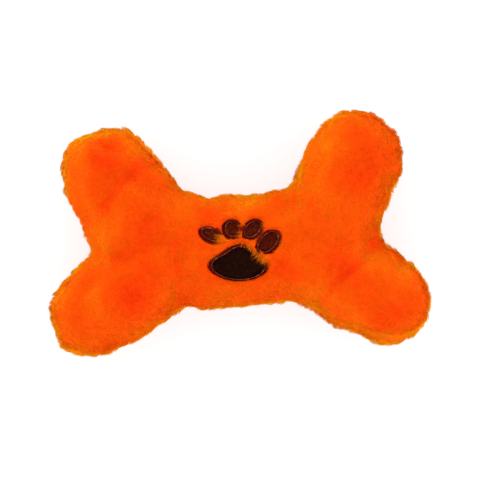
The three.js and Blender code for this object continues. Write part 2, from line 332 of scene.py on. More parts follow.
# Creases in the front: the pixels that each runs through, and its width and depth in millimetres
CREASES = (
    (((163, 166), (140, 168), (124, 186), (110, 208)), 4.5, 1.8),
    (((177, 246), (178, 275), (184, 300)), 4.5, 1.2),
    (((373, 244), (352, 268), (334, 283), (324, 298)), 3.4, 1.8),
    (((120, 262), (150, 248), (176, 240)), 9, 0.5),
    (((96, 146), (116, 150)), 5, 1.6),
    (((281, 262), (292, 270)), 7, 1.2),
    (((200, 212), (212, 222)), 5, 1.2),
    (((392, 248), (402, 262)), 4, 1.0),
)


def crease_depth(points):
    """How deep the deepest crease is at each point."""
    flat = points[:, :2]
    deepest = np.zeros(len(flat))
    for run, width, depth in CREASES:
        best = np.full(len(flat), np.inf)
        places = [np.array(at_pixel(*pixel)) for pixel in run]
        for a, b in zip(places, places[1:]):
            along = b - a
            t = np.clip((flat - a) @ along / (along @ along), 0, 1)
            best = np.minimum(best, lengths(flat - a - t[:, None] * along))
        deepest = np.maximum(deepest, depth * MM * np.exp(-((best / (width * MM)) ** 2)))
    return deepest


# Where the toy reaches further out, or less far, than the CAD panels: pixel, reach and push in millimetres
SWELLS = (
    ((70, 146), 12, 1.8),
    ((65, 172), 10, 0.8),
    ((86, 136), 7, 1.2),
    ((122, 128), 9, -2.2),
    ((145, 145), 14, -1.6),
    ((176, 186), 9, -1),
    ((190, 192), 9, 3),
    ((280, 188), 9, 1),
    ((316, 150), 12, -0.4),
    ((336, 118), 9, -2),
    ((384, 120), 9, -0.7),
    ((398, 142), 8, 0.8),
    ((398, 165), 14, 2.4),
    ((384, 242), 8, 1.8),
    ((415, 265), 10, 2.2),
    ((428, 298), 12, 1.4),
    ((420, 328), 8, 1),
    ((345, 330), 14, -2.6),
    ((312, 312), 10, -2.4),
    ((300, 303), 8, -1.6),
    ((182, 306), 12, 0.8),
    ((218, 307), 12, 2.4),
    ((100, 357), 14, -1.4),
    ((62, 345), 10, 1.6),
    ((54, 300), 10, -0.8),
    ((78, 262), 8, 1.2),
    ((80, 225), 12, -1),
)

# How much further out the steep sides stand, so that their leaning pile reaches the toy's outline
SIDE_PUSH = 0.3 * MM


def swell(points, normals):
    """How far the sides of the toy move outwards, in X and Y."""
    push = with_bumps(0.0, points, SWELLS, MM)
    return push[:, None] * (normals * [1, 1, 0])


def raised_to_paw(obj):
    """Lifts the cover round the paw print to the height of the CAD front panel's pile."""
    mesh = obj.data
    points = points_of(mesh)
    front = tree_of("front_panel")
    near = near_paw(points, 1.4) * rising(normals_of(mesh)[:, 2], 0.4, 0.8)
    lift = np.zeros(len(points))
    for i in np.flatnonzero(near > 0.01):
        x, y, z = points[i]
        hit = front.ray_cast(Vector((x, y, 1)), Vector((0, 0, -1)))[0]
        if hit:
            lift[i] = hit.z - z
    outside = beyond_paw(points)
    lift[outside < 0] += PATCH_DEPTH
    edges = edges_of(mesh)
    sure = (outside > PAW_SURE_REACH) | (outside < -PAW_SURE_REACH)
    known = lift.copy()
    lift[~sure] = lift[sure & (near > 0.5)].mean()
    for _ in range(PAW_LIFT_SMOOTHING):
        lift = neighbour_mean(lift[:, None], edges)[:, 0]
        lift[sure] = known[sure]
    for _ in range(3):
        lift = lift + 0.5 * (neighbour_mean(lift[:, None], edges)[:, 0] - lift)
    points[:, 2] += near * lift
    set_points(mesh, points)


def cover_surface():
    panels = [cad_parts["front_panel"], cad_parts["back_panel"]]
    obj = new_piece("cover", *collected(panels))
    voxel_remesh(obj, COVER_VOXEL)
    mesh = obj.data
    edges = edges_of(mesh)
    start = smoothed(points_of(mesh), edges, COVER_SMOOTHING)
    set_points(mesh, start)
    set_points(mesh, start - normals_of(mesh) * CLOTH_START_INSET)
    seam_near = np.exp(-(((start[:, 2] - seam_height(start)) / SEAM_GROOVE_WIDTH) ** 2))
    paw_near = near_paw(start, 1.5)
    inflate(obj, np.maximum(0.9 * seam_near, paw_near * (start[:, 2] > SEAM_Z)))
    swollen = points_of(mesh)
    normals = normals_of(mesh)
    off = ((swollen - start) * normals).sum(1)[:, None]
    drift = off
    for _ in range(DRIFT_SMOOTHING):
        drift = neighbour_mean(drift, edges)
    swollen = start + normals * np.clip(off - drift, -WRINKLE_LIMIT, WRINKLE_LIMIT)
    held = (paw_near * rising(start[:, 2], SEAM_Z + 4 * MM, SEAM_Z + 14 * MM))[:, None]
    set_points(mesh, swollen * (1 - held) + start * held)
    raised_to_paw(obj)
    obj.modifiers.new("smooth", "SUBSURF").levels = 1
    apply_modifiers(obj)
    mesh = obj.data
    points, normals = points_of(mesh), normals_of(mesh)
    points += swell(points, normals)
    off = points[:, 2] - seam_height(points)
    groove = SEAM_GROOVE * np.exp(-((off / SEAM_GROOVE_WIDTH) ** 2))
    points += SIDE_PUSH * normals * [1, 1, 0] * steepness(normals)[:, None]
    upper = rising(normals[:, 2], 0.1, 0.6)
    lumps = LUMP_HEIGHT * waves(points, LUMP_SPACING, LUMP_SEED)
    lumps *= rising(beyond_paw(points), 0, 12 * MM)
    points += normals * (lumps - groove - upper * crease_depth(points))[:, None]
    points[:, 2] = np.maximum(points[:, 2], 0)
    set_points(mesh, points)
    return obj


cover = cover_surface()

# The random order of each panel's pile, by side: 1 for the front
PILE_SEEDS = {1: 11, -1: 12}

# Fur fabric: the bed is the dense lower pile that the strands stand in, and the backing is its inner face
BED_DEPTH = 0.7 * MM
DIP_START = 0.2 * MM
DIP_WIDTH = 0.8 * MM
PANEL_GAP = 0.3 * MM
ALLOWANCE_THICKNESS = 1.2 * MM
ALLOWANCE_STEPS = (3 * MM, 8 * MM)
FOLD_REACH = 1.5 * MM
RIM_SMOOTHING = 6
SMALL_HOLE = 40
NORMAL_SMOOTHING = 8
LEAST_AGREEMENT = 0.9
REFINED_REACH = 32 * MM


def bed_depth(points, front):
    """How far the bed lies under the pile's tips: deeper where it is pressed flat under the paw print."""
    depth = np.full(len(points), BED_DEPTH)
    if front:
        pressed = 1 - rising(beyond_paw(points), DIP_START, DIP_START + DIP_WIDTH)
        depth += (PATCH_DEPTH - depth) * pressed
    return depth


# Painted shade and light on the front's pile: redder patches (a tone below 0) where it lies in shade, and
# yellower ones where light falls on it: pixel, reach in millimetres and tone
SHADE_AND_LIGHT_TINTS = (
    ((140, 288), 24, -0.1),
    ((178, 290), 18, -0.1),
    ((368, 162), 16, -0.08),
    ((392, 323), 18, -0.1),
    ((240, 203), 12, 0.16),
    ((292, 197), 12, 0.12),
    ((105, 146), 14, -0.12),
    ((314, 158), 16, 0.16),
    ((369, 257), 10, 0.14),
    ((160, 180), 14, 0.1),
)


PLAIN_TONE = 0.38
# Painted sheen: the pile is yellower on the sides
SIDE_SHEEN_TONE = 0.5
# Painted sheen and shade on the back: yellower where it faces up, redder where it faces down
BACK_SHEEN_AND_SHADE_TONE = 0.5
# Painted shade: the front's pile is redder in its creases, by their depth
CREASE_SHADE_TONE = -0.1 / MM
TONE_WAVE = 0.07
TONE_WAVE_SPACING = 30 * MM


def pile_tone(points, normals, side, seed):
    """The pile's colour at points, from 0 for red to 1 for yellow, with painted sheen and shade: yellower
    sides, a back that is yellower facing up and redder facing down, and a front that is redder in its
    creases and in some patches and yellower in others.
    """
    tones = PLAIN_TONE + TONE_WAVE * waves(points, TONE_WAVE_SPACING, seed)
    tones += SIDE_SHEEN_TONE * (1 - np.abs(normals[:, 2]))
    if side < 0:
        return tones + BACK_SHEEN_AND_SHADE_TONE * rising(normals[:, 2], -0.3, 0.3)
    return with_bumps(tones, points, SHADE_AND_LIGHT_TINTS, 1) + CREASE_SHADE_TONE * crease_depth(points)


def open_half(side):
    """One side of the cover at the tips of its pile, cut along the seam, as a bmesh."""
    bm = bmesh.new()
    bm.from_mesh(cover.data)
    shift_seam(bm, -1)
    bmesh.ops.bisect_plane(
        bm,
        geom=bm.verts[:] + bm.edges[:] + bm.faces[:],
        plane_co=(0, 0, SEAM_Z + side * PANEL_GAP / 2),
        plane_no=(0, 0, side),
        clear_inner=True,
    )
    shift_seam(bm, 1)
    bmesh.ops.holes_fill(bm, edges=[e for e in bm.edges if e.is_boundary], sides=SMALL_HOLE)
    if side > 0:
        middle = Vector(PAW_MIDDLE)
        near = {v for v in bm.verts if (v.co.xy - middle).length < REFINED_REACH}
        edges = [e for e in bm.edges if e.verts[0] in near and e.verts[1] in near]
        bmesh.ops.subdivide_edges(bm, edges=edges, cuts=2, use_grid_fill=True)
    bm.normal_update()
    return bm


def shift_seam(bm, way):
    """Moves a bmesh up (way 1) or down (way -1) by how far the seam runs above the parting plane."""
    lift = seam_height(np.array([v.co[:2] for v in bm.verts])) - SEAM_Z
    for v, rise in zip(bm.verts, lift):
        v.co.z += way * rise


def steady_normals(tips):
    """The surface's directions, taken from the whole cover where slivers at the cut face elsewhere."""
    whole = normals_of(cover.data)
    edges = edges_of(cover.data)
    for _ in range(NORMAL_SMOOTHING):
        whole = neighbour_mean(whole, edges)
    whole = unit(whole)[nearest_of(points_of(cover.data), points_of(tips))]
    own = normals_of(tips)
    astray = (own * whole).sum(1) < LEAST_AGREEMENT
    own[astray] = whole[astray]
    return own


def open_edges(faces):
    """The edges that only one face has, as directed pairs of vertices."""
    pairs = {(f[k - 1], f[k]) for f in faces for k in range(len(f))}
    return [(p, q) for p, q in pairs if (q, p) not in pairs]


def turned_in(points, faces, side, open_pairs, rim):
    """Adds the seam allowance along the open edge: rows of faces that run inwards at the seam's height."""
    tangent = np.zeros((len(points), 2))
    for p, q in open_pairs:
        run = points[q, :2] - points[p, :2]
        tangent[p] += run
        tangent[q] += run
    for _ in range(RIM_SMOOTHING):
        summed = tangent.copy()
        for p, q in open_pairs:
            summed[p] += tangent[q]
            summed[q] += tangent[p]
        tangent = summed / 2
    way = unit(tangent[rim])
    inward = side * np.stack([-way[:, 1], way[:, 0]], 1)
    rows = [rim]
    for step in ALLOWANCE_STEPS:
        flat = points[rim, :2] + step * inward
        row = np.column_stack([flat, seam_height(flat) + side * PANEL_GAP / 2])
        rows.append(np.arange(len(points), len(points) + len(row)))
        points = np.concatenate([points, row])
    place = {v: i for i, v in enumerate(rim)}
    numbered = [(place[p], place[q]) for p, q in open_pairs]
    for near, far in zip(rows, rows[1:]):
        faces = faces + [[near[q], near[p], far[p], far[q]] for p, q in numbered]
    ends = [(rows[-1][p], rows[-1][q]) for p, q in numbered]
    return points, faces, ends, inward


def longest_loop(pairs):
    """The longest closed run of vertices that directed pairs form."""
    following = dict(pairs)
    best = []
    while following:
        run = [next(iter(following))]
        while run[-1] in following:
            run.append(following.pop(run[-1]))
        best = max(best, run, key=len)
    return best


def add_values(mesh, name, values):
    """Gives each vertex a number that materials read by its name."""
    write(mesh.attributes.new(name, "FLOAT", "POINT").data, "value", values)


def dress(obj, material, node=None):
    """Finishes a piece that is fixed to the toy. A soft one also has its CAD node, which is hidden."""
    obj.data.materials.append(material)
    if node:
        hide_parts(node)
    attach(obj, "toy")


def panel(name, node, side):
    """Makes a fur-fabric panel as a closed shell with its seam allowance turned in.

    Returns its tips' surface, a tree of its inner faces, and its seam's places and ways inwards.
    """
    bm = open_half(side)
    tips = bpy.data.meshes.new("tips")
    bm.to_mesh(tips)
    bm.free()
    normals = steady_normals(tips)
    outer = points_of(tips)
    points = outer - normals * bed_depth(outer, side > 0)[:, None]
    inner = outer - normals * COVER_THICKNESS
    faces = [list(f.vertices) for f in tips.polygons]
    open_pairs = open_edges(faces)
    rim = np.array(sorted({p for p, q in open_pairs}))
    points[rim, 2] = seam_height(points[rim, :2]) + side * PANEL_GAP / 2
    points, faces, ends, inward = turned_in(points, faces, side, open_pairs, rim)
    loop = longest_loop(open_pairs)
    seam = {"places": points[loop, :2], "inward": inward[np.searchsorted(rim, loop)]}
    raised = [0, 0, side * ALLOWANCE_THICKNESS]
    inner = np.concatenate([inner, points[len(inner) :] + raised])
    inner[rim] = points[rim] + raised
    inner[rim, :2] += FOLD_REACH * inward
    count = len(points)
    walls = [[q, p, p + count, q + count] for p, q in ends]
    back_faces = [[v + count for v in reversed(f)] for f in faces]
    obj = new_piece(name, np.concatenate([points, inner]), faces + back_faces + walls)
    obj.data.shade_smooth()
    tones = np.full(len(obj.data.vertices), MIDDLE_TONE)
    # The bed takes the pile's tones, with their painted sheen and shade
    tones[: len(outer)] = pile_tone(outer, normals, side, PILE_SEEDS[side])
    add_values(obj.data, "tone", tones)
    dress(obj, bed_material, node)
    return tips, BVHTree.FromPolygons(inner.tolist(), faces), seam


# Pile: strands on a square metre, their lengths and radii, and their leans at the foot and the head
FRONT_PER_AREA = 2.8 / MM**2
BACK_PER_AREA = 2.5 / MM**2
PAW_SLACK = 0.1 * MM
BARE_HEIGHT = 1 * MM
STRAND_LENGTH = 2.2 * MM
RIM_STRAND_LENGTH = 4.2 * MM
PAW_STRAND_LENGTH = 3.2 * MM
PAW_FADE = (0.8 * MM, 3.4 * MM)
DEPTH_LENGTH = 0.75
LENGTH_WAVE = 0.05
RIM_LENGTH_WAVE = 0.12
LENGTH_WAVE_SPACING = 9 * MM
LENGTH_SPREAD = (0.8, 1.15)
STRAND_RADII = (0.12 * MM, 0.09 * MM)
RADIUS_SPREAD = (0.8, 1.2)
LEAST_HEIGHT = 0.05 * MM
ROOT_DEPTH = 0.5 * MM
LEANS = (math.radians(40), math.radians(76))
RIM_LEANS = (math.radians(38), math.radians(68))
LEAN_SCATTER = 0.12
PAW_UPRIGHT = 0.85
PAW_STEADIER = 0.5
# The way in which the pile lies on the flat cloth, before the cloth bends down at the sides
NAP = np.array(Vector((-1, -0.2, 0)).normalized())
LEAST_BEND = 0.3
SWIRLS = ((0.5, 45 * MM), (0.12, 12 * MM))
WAY_SCATTER = 0.3
# Strands bend together into locks
LOCK_SPACING = 4 * MM
LOCK_PULL = 0.12
RIM_LOCK_PULL = 0.6
LOCK_FOOT_SHARE = 0.3
LOCK_SPREAD = (0.6, 1.2)
MIDDLE_TONE = 0.5
TONE_SPECKLE = 0.04
TONE_SPECKLE_SPACING = 6 * MM
TONE_SCATTER = 0.06
TONE_LIMITS = (0.02, 0.98)
# How a strand takes the light: by its own form, and as if it faced up
OWN_SHADING = 0.8
RIM_SKY_SHADING = 0.5
PAW_SKY_SHADING = 2
MAP_WIDTH = 0.004
MAP_LIFT = 0.3

# Tufts over the paw print's edge: pixel, reach in millimetres, way in degrees and length in millimetres
OVERLAPS = (
    ((221, 245), 2.2, 165, 6.5),
    ((226, 241), 2.4, 170, 8.5),
    ((243, 234), 1.8, 195, 5.5),
    ((266, 224), 1.6, 190, 2.4),
    ((253, 245), 1.8, 210, 4.5),
    ((258, 248), 2.2, 232, 6),
    ((263, 252), 2.4, 236, 8.5),
    ((267, 257), 2.2, 228, 6.5),
)
OVER_DENSER = 3
OVER_EDGE = (0.8, 1.2)
OVER_BEND_DEPTH = 0.8 * MM
OVER_LEAN = math.radians(95)
OVER_SCATTER = 0.2
OVER_LENGTH_SPREAD = (0.6, 1.1)


def overlapping(points):
    """1 where a tuft stands that lies over the paw print, and that tuft's way and length."""
    flat = points[:, :2]
    far = [lengths(flat - np.array(at_pixel(*o[0]))) / (o[1] * MM) for o in OVERLAPS]
    nearest = np.argmin(far, axis=0)
    angles = np.radians([o[2] for o in OVERLAPS])[nearest]
    ways = np.stack([np.cos(angles), np.sin(angles), np.zeros(len(flat))], 1)
    reaches = np.array([o[3] * MM for o in OVERLAPS])[nearest]
    return 1 - rising(np.min(far, axis=0), *OVER_EDGE), ways, reaches


def strands(name, paths, sideways, radii, tones, normals=None):
    """Tapered three-sided strands along paths of two or more places and a tip.

    Each vertex keeps its strand's tone and its place along the strand. With normals, the upper side takes
    the light as the cloth does.
    """
    count, rings = len(paths), paths.shape[1] - 1
    size = 3 * rings + 1
    points = np.empty((count, size, 3))
    facing = np.zeros(points.shape)
    for r in range(rings):
        other = np.cross(unit(paths[:, r + 1] - paths[:, max(r - 1, 0)]), sideways)
        for k in range(3):
            turn = 2 * math.pi * k / 3
            out = math.cos(turn) * sideways + math.sin(turn) * other
            points[:, 3 * r + k] = paths[:, r] + radii[:, r, None] * out
            if normals is not None:
                upper = np.clip(0.5 + (out * normals).sum(1), 0, 1)[:, None]
                facing[:, 3 * r + k] = OWN_SHADING * out + upper * normals
    points[:, -1] = paths[:, -1]
    points[:, :, 2] = np.maximum(points[:, :, 2], LEAST_HEIGHT)
    faces = [(0, 2, 1)]
    for start in range(0, 3 * rings, 3):
        for k, after in ((0, 1), (1, 2), (2, 0)):
            face = (start + k, start + after, start + 3 + after, start + 3 + k)
            faces.append(face if start + 3 < size - 1 else (start + k, start + after, size - 1))
    corners = np.concatenate([np.array(f) for f in faces])
    counts = np.array([len(f) for f in faces])
    mesh = bpy.data.meshes.new(name)
    mesh.vertices.add(count * size)
    write(mesh.vertices, "co", points)
    mesh.loops.add(len(corners) * count)
    write(mesh.loops, "vertex_index", corners[None] + size * np.arange(count)[:, None], np.int32)
    starts = np.concatenate([[0], np.cumsum(np.tile(counts, count))[:-1]])
    mesh.polygons.add(len(starts))
    write(mesh.polygons, "loop_start", starts, np.int32)
    mesh.update(calc_edges=True)
    mesh.shade_smooth()
    if normals is not None:
        facing[:, -1] = normals
        free = mesh.attributes.new("custom_normal", "FLOAT_VECTOR", "POINT")
        write(free.data, "vector", unit(facing.reshape(-1, 3)))
    along = np.append(np.repeat(np.arange(rings), 3), rings) / rings
    tones = np.clip(tones, *TONE_LIMITS)
    add_values(mesh, "tone", np.repeat(tones, size))
    add_values(mesh, "along", np.tile(along, count))
    across = np.append(np.tile([-1.0, 0.0, 1.0], rings), 0) * MAP_WIDTH
    lift = np.zeros(len(corners))
    lift[1] = MAP_LIFT / rings
    u = tones[:, None] + across[corners][None]
    v = np.broadcast_to(along[corners] + lift, u.shape)
    write(mesh.uv_layers.new(name="OFBake").uv, "vector", np.stack([u, v], -1))
    obj = bpy.data.objects.new(name, mesh)
    bpy.context.scene.collection.objects.link(obj)
    return obj


def sampled(mesh, per_area, rng, allowed):
    """Random places on a mesh where allowed holds, with the surface's direction there."""
    mesh.calc_loop_triangles()
    corners = read(mesh.loop_triangles, "vertices", 3, np.int32)
    points, normals = points_of(mesh), normals_of(mesh)
    a, b, c = (points[corners[:, k]] for k in range(3))
    areas = lengths(np.cross(b - a, c - a)) / 2
    count = int(areas.sum() * per_area)
    chosen = rng.choice(len(corners), count, p=areas / areas.sum())
    s, t = np.sqrt(rng.random(count)), rng.random(count)
    shares = np.stack([1 - s, s * (1 - t), s * t], 1)
    places = (points[corners[chosen]] * shares[:, :, None]).sum(1)
    ways = unit((normals[corners[chosen]] * shares[:, :, None]).sum(1))
    keep = allowed(places)
    return places[keep], ways[keep]


def turned_about(vectors, axes, angles):
    """Vectors that lie square to their axes, turned about them."""
    return vectors * np.cos(angles)[:, None] + np.cross(axes, vectors) * np.sin(angles)[:, None]


def along_surface(ways, normals):
    """The part of each way that lies along the surface, at a length of 1."""
    return unit(ways - (ways * normals).sum(1)[:, None] * normals)


def pile(panel_name, tips, side):
    """The pile of one panel, as one piece for each region of the toy."""
    front = side > 0
    seed = PILE_SEEDS[side]
    rng = np.random.default_rng(seed)
    density = (FRONT_PER_AREA if front else BACK_PER_AREA) * 1

    def clear(places):
        return beyond_paw(places) > -PAW_SLACK if front else places[:, 2] > BARE_HEIGHT

    def in_tuft(places):
        return clear(places) & (overlapping(places)[0] > 0.5)

    roots, normals = sampled(tips, density, rng, clear)
    if front:
        tufts = sampled(tips, OVER_DENSER * density, rng, in_tuft)
        roots, normals = np.concatenate([roots, tufts[0]]), np.concatenate([normals, tufts[1]])
    tones = pile_tone(roots, normals, side, seed)
    depth = bed_depth(roots, front)
    roots = roots - normals * depth[:, None]
    count = len(roots)
    rim = steepness(normals)
    bent = (normals @ NAP) / np.maximum(1 + side * normals[:, 2], LEAST_BEND)
    lay = along_surface(NAP - bent[:, None] * (normals + [0, 0, side]), normals)
    swirl = sum(turn * waves(roots, spacing, seed + k) for k, (turn, spacing) in enumerate(SWIRLS, 1))
    lay = turned_about(lay, normals, swirl + rng.normal(0, WAY_SCATTER, count))
    if front:
        over, over_ways, over_reach = overlapping(roots)
        by_paw = 1 - rising(beyond_paw(roots), *PAW_FADE)
    else:
        over, over_ways, over_reach = np.zeros(count), lay, np.zeros(count)
        by_paw = np.zeros(count)
    over_ways = over_ways + rng.normal(0, OVER_SCATTER, (count, 3))
    lay = along_surface(lay + (over_ways - lay) * over[:, None], normals)
    sideways = np.cross(normals, lay)
    length = STRAND_LENGTH + (RIM_STRAND_LENGTH - STRAND_LENGTH) * rim
    length += (PAW_STRAND_LENGTH - length) * by_paw
    length += DEPTH_LENGTH * np.maximum(depth - BED_DEPTH, 0)
    uneven = (LENGTH_WAVE + RIM_LENGTH_WAVE * rim) * waves(roots, LENGTH_WAVE_SPACING, seed + 3)
    length *= (1 + uneven) * rng.uniform(*LENGTH_SPREAD, count)
    foot = length / 2 + (depth - OVER_BEND_DEPTH - length / 2) * over
    head = length / 2 + (over_reach * rng.uniform(*OVER_LENGTH_SPREAD, count) - length / 2) * over
    places = [roots - normals * ROOT_DEPTH]
    for flat_lean, rim_lean, over_lean, part in zip(LEANS, RIM_LEANS, (0, OVER_LEAN), (foot, head)):
        lean = (flat_lean + (rim_lean - flat_lean) * rim) * (1 - PAW_UPRIGHT * by_paw)
        lean += (over_lean - lean) * over + rng.normal(0, LEAN_SCATTER, count) * (1 - PAW_STEADIER * by_paw)
        way = normals * np.cos(lean)[:, None] + lay * np.sin(lean)[:, None]
        places.append(places[-1] + way * part[:, None])
    paths = np.stack(places, 1)
    locks = rng.choice(count, max(1, int(count / density / LOCK_SPACING**2)), replace=False)
    nearest = locks[nearest_of(roots[locks], roots)]
    pull = ((LOCK_PULL + (RIM_LOCK_PULL - LOCK_PULL) * rim) * rng.uniform(*LOCK_SPREAD, count))[:, None]
    paths[:, 2] += pull * (paths[nearest, 2] - paths[:, 2])
    paths[:, 1] += LOCK_FOOT_SHARE * pull * (paths[nearest, 1] - paths[:, 1])
    speckle = TONE_SPECKLE * waves(roots, TONE_SPECKLE_SPACING, seed + 5)
    tones += speckle + rng.normal(0, TONE_SCATTER, count)
    radii = np.array(STRAND_RADII)[None] * rng.uniform(*RADIUS_SPREAD, count)[:, None]
    facing = unit(normals + (RIM_SKY_SHADING * rim + PAW_SKY_SHADING * by_paw)[:, None] * [0, 0, 1])
    region = regions_of(roots)
    for number, region_name in enumerate(REGIONS):
        mine = region == number
        name = f"{panel_name}_pile_{region_name}"
        obj = strands(name, paths[mine], sideways[mine], radii[mine], tones[mine], facing[mine])
        dress(obj, pile_material)


# Regions of the pile, each with the filling that lies under it
REGIONS = {
    "shaft": "shaft_stuffing_front",
    "lower_right": "lower_right_stuffing",
    "lower_left": "lower_left_stuffing",
    "upper_right": "upper_right_stuffing",
    "upper_left": "upper_left_stuffing",
}


def regions_of(points):
    """The number of the region whose filling is nearest to each point, by the middles of their boxes."""
    middles = [(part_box(node)[0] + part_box(node)[1]) / 2 for node in REGIONS.values()]
    return np.argmin([lengths(points[:, :2] - np.array(middle.xy)) for middle in middles], axis=0)


# Materials
BLACK, WHITE = (0, 0, 0, 1), (1, 1, 1, 1)


def srgb(*levels):
    """A colour written from 0 to 255, as Blender's linear numbers."""
    shares = [level / 255 for level in levels]
    return (*(x / 12.92 if x <= 0.04045 else ((x + 0.055) / 1.055) ** 2.4 for x in shares), 1)


def grey(level):
    return (level, level, level, 1)


def oranges(*greens):
    """Colours from red to yellow, by their green from 0 to 255."""
    return [srgb(255, green, 0) for green in greens]


class Nodes:
    """A material's nodes: each call adds one and links what it is given."""

    def __init__(self, name, roughness=0.9, specular=0.2, sheen=0.0, sheen_tint=WHITE):
        self.material = bpy.data.materials.new(name)
        self.material.use_nodes = True
        self.tree = self.material.node_tree
        self.shader = self.tree.nodes["Principled BSDF"]
        values = {"Roughness": roughness, "Specular IOR Level": specular, "Sheen Weight": sheen}
        for key, value in (values | {"Sheen Tint": sheen_tint}).items():
            self.shader.inputs[key].default_value = value

    def add(self, kind, settings=None, **inputs):
        node = self.tree.nodes.new(kind)
        for key, value in (settings or {}).items():
            setattr(node, key, value)
        for key, value in inputs.items():
            self.put(node.inputs[key], value)
        return node

    def put(self, socket, value):
        if isinstance(value, bpy.types.NodeSocket):
            self.tree.links.new(value, socket)
        else:
            socket.default_value = value

    def attribute(self, name):
        return self.add("ShaderNodeAttribute", {"attribute_name": name}).outputs["Fac"]

    def ramp(self, value, *stops):
        node = self.add("ShaderNodeValToRGB", Fac=value)
        ramp = node.color_ramp
        while len(ramp.elements) < len(stops):
            ramp.elements.new(0.5)
        for element, (place, colour) in zip(ramp.elements, stops):
            element.position, element.color = place, colour
        return node.outputs["Color"]

    def even_ramp(self, value, colours):
        return self.ramp(value, *((k / (len(colours) - 1), colour) for k, colour in enumerate(colours)))

    def by_noise(self, noise, low, high):
        return self.ramp(noise, (0.3, low), (0.7, high))

    def mix(self, share, a, b):
        node = self.add("ShaderNodeMix", {"data_type": "RGBA"})
        for number, value in ((0, share), (6, a), (7, b)):
            self.put(node.inputs[number], value)
        return node.outputs[2]

    def noise(self, scale, detail=3, roughness=0.6):
        where = self.add("ShaderNodeTexCoord").outputs["Object"]
        node = self.add("ShaderNodeTexNoise", Vector=where, Scale=scale, Detail=detail, Roughness=roughness)
        return node.outputs["Fac"]

    def bump(self, height, distance):
        node = self.add("ShaderNodeBump", Height=height, Distance=distance)
        self.put(self.shader.inputs["Normal"], node.outputs["Normal"])

    def colour(self, value):
        self.put(self.shader.inputs["Base Color"], value)
        return self.material


def haired(name, specular, sheen_tint, roots, tips):
    """The material of strands, by each one's tone and by the place from its root to its tip: the roots are
    painted darker as shade down among the strands, and the tips lighter as painted sheen.
    """
    n = Nodes(name, specular=specular, sheen=0.1, sheen_tint=sheen_tint)
    tone = n.attribute("tone")
    return n.colour(n.mix(n.attribute("along"), n.even_ramp(tone, roots), n.even_ramp(tone, tips)))


def grained(name, roughness, specular, scale, detail, depth, dark, light, noise_roughness=0.6):
    """A material with a fine grain in its colour and its surface."""
    n = Nodes(name, roughness, specular)
    fine = n.noise(scale, detail, noise_roughness)
    n.bump(fine, depth)
    return n.colour(n.by_noise(fine, dark, light))


def moulded(name, scale, detail, fine_scale, gloss, depth, dark, light):
    """A moulded plastic, cloudy in its colour, with a fine grain in its gloss and its surface."""
    n = Nodes(name, specular=0.5)
    fine = n.noise(fine_scale)
    n.put(n.shader.inputs["Roughness"], n.by_noise(fine, grey(gloss[0]), grey(gloss[1])))
    n.bump(fine, depth)
    return n.colour(n.by_noise(n.noise(scale, detail), dark, light))


def make_bed_material():
    n = Nodes("plush_bed", 0.95, 0.1)
    fine = n.noise(900)
    tone = n.attribute("tone")
    n.bump(fine, 0.4 * MM)
    # The tone carries the pile's painted sheen and shade
    dark, light = n.even_ramp(tone, oranges(34, 66, 84)), n.even_ramp(tone, oranges(56, 98, 116))
    return n.colour(n.mix(n.by_noise(fine, BLACK, WHITE), dark, light))


def make_seam_thread_material():
    n = Nodes("seam_thread", 0.7, 0.2)
    twist = n.noise(2500)
    n.bump(twist, 0.05 * MM)
    shade = n.ramp(n.attribute("tone"), (0.2, srgb(226, 84, 6)), (0.8, srgb(255, 128, 24)))
    return n.colour(n.mix(n.by_noise(twist, BLACK, WHITE), shade, srgb(246, 112, 20)))


def make_border_material():
    n = Nodes("border_thread", 0.75, 0.12)
    # From the satin's dark maroon up to the inner row's lighter thread: the stop at 0.85 is that thread
    # with a painted highlight of its sheen, and the top stop gives painted glints
    stops = (
        (0, srgb(70, 2, 0)),
        (0.3, srgb(112, 8, 0)),
        (0.6, srgb(140, 34, 14)),
        (0.85, srgb(196, 96, 62)),
        (1, srgb(250, 190, 150)),
    )
    return n.colour(n.ramp(n.attribute("tone"), *stops))


# Each velour's nap colours, dark to light, and its bed's colours; the nap's lightest colour is painted
# sheen on its tips and speckles, and is also its sheen tint
VELOUR_COLOURS = {
    "pad_velour": (
        (srgb(28, 6, 3), srgb(58, 20, 8), srgb(104, 56, 22)),
        (srgb(20, 5, 3), srgb(44, 14, 6)),
    ),
    "toe_velour": (
        (srgb(88, 12, 2), srgb(116, 28, 6), srgb(210, 120, 70)),
        (srgb(74, 10, 2), srgb(112, 26, 6)),
    ),
}
# The pile: its roots painted darker and redder as shade, and its tips yellower as painted sheen, which
# shows most where the pile is seen edge-on
pile_material = haired("plush_pile", 0.05, srgb(255, 150, 0), oranges(44, 88, 108), oranges(62, 124, 184))
bed_material = make_bed_material()
velours = {
    slot: (
        haired(slot, 0.1, colours[2], colours[:2], colours),
        grained(slot + "_bed", 0.95, 0.05, 1400, 4, 0.3 * MM, *bed_colours),
    )
    for slot, (colours, bed_colours) in VELOUR_COLOURS.items()
}
thread_material = make_border_material()
fibre_material = grained("fibre", 1, 0.1, 700, 6, 0.8 * MM, srgb(214, 212, 205), srgb(248, 247, 242), 0.7)
nonwoven = (srgb(222, 222, 218), srgb(246, 246, 243))
stabiliser_material = grained("stabiliser", 0.95, 0.1, 1500, 4, 0.1 * MM, *nonwoven)
seam_thread_material = make_seam_thread_material()

